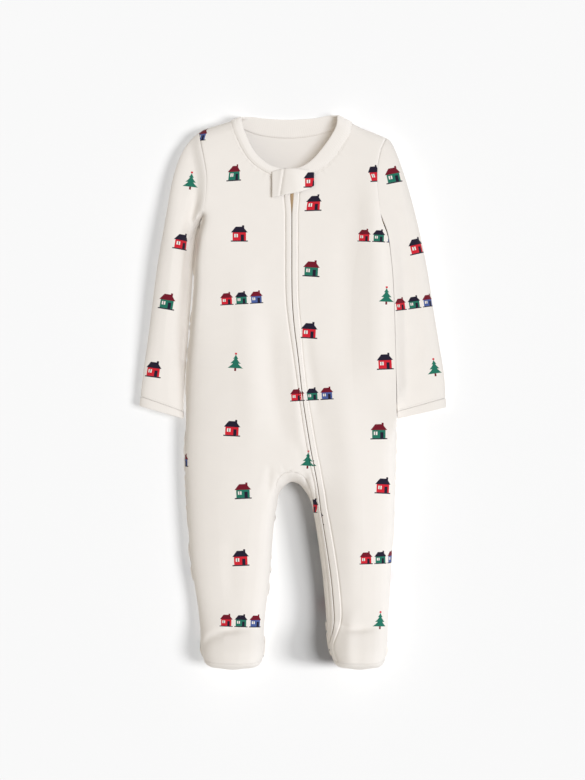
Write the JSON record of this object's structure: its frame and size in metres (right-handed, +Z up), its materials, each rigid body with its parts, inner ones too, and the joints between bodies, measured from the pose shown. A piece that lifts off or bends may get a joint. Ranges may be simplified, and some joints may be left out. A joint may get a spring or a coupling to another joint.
{
  "type": "footed baby sleepsuit",
  "caption": "Footed baby sleepsuit lying flat on its back: long cuffed sleeves, ribbed round neck, closed feet, and a zip that runs from the neck down to the left ankle.",
  "frame": {"origin": "centre of the outline, at the height of the surface that the suit lies on", "axes": "+Y towards the neck, +X towards the wearer's left, +Z up and away from the surface"},
  "size_m": [0.343, 0.619, 0.0428],
  "materials": {
    "front_right": "knitted cotton jersey, matt",
    "front_left": "knitted cotton jersey, matt",
    "back": "knitted cotton jersey, matt",
    "gusset": "knitted cotton jersey, matt",
    "sleeve_right": "knitted cotton jersey, matt",
    "sleeve_left": "knitted cotton jersey, matt",
    "cuff_right": "knitted cotton rib, matt",
    "cuff_left": "knitted cotton rib, matt",
    "sole_right": "knitted cotton jersey, matt",
    "sole_left": "knitted cotton jersey, matt",
    "neck_band": "knitted cotton rib, matt",
    "zip_tape": "matt woven tape",
    "zip_slider": "smooth cream coating",
    "zip_guard": "knitted cotton jersey, matt"
  },
  "bodies": {
    "root": {"front_right": "front_right", "front_left": "front_left", "back": "back", "gusset": "gusset", "sleeve_right": "sleeve_right", "sleeve_left": "sleeve_left", "cuff_right": "cuff_right", "cuff_left": "cuff_left", "sole_right": "sole_right", "sole_left": "sole_left", "neck_band": "neck_band", "zip_tape": "zip_tape", "zip_slider": "zip_slider", "zip_guard": "zip_guard"}
  },
  "joints": []
}
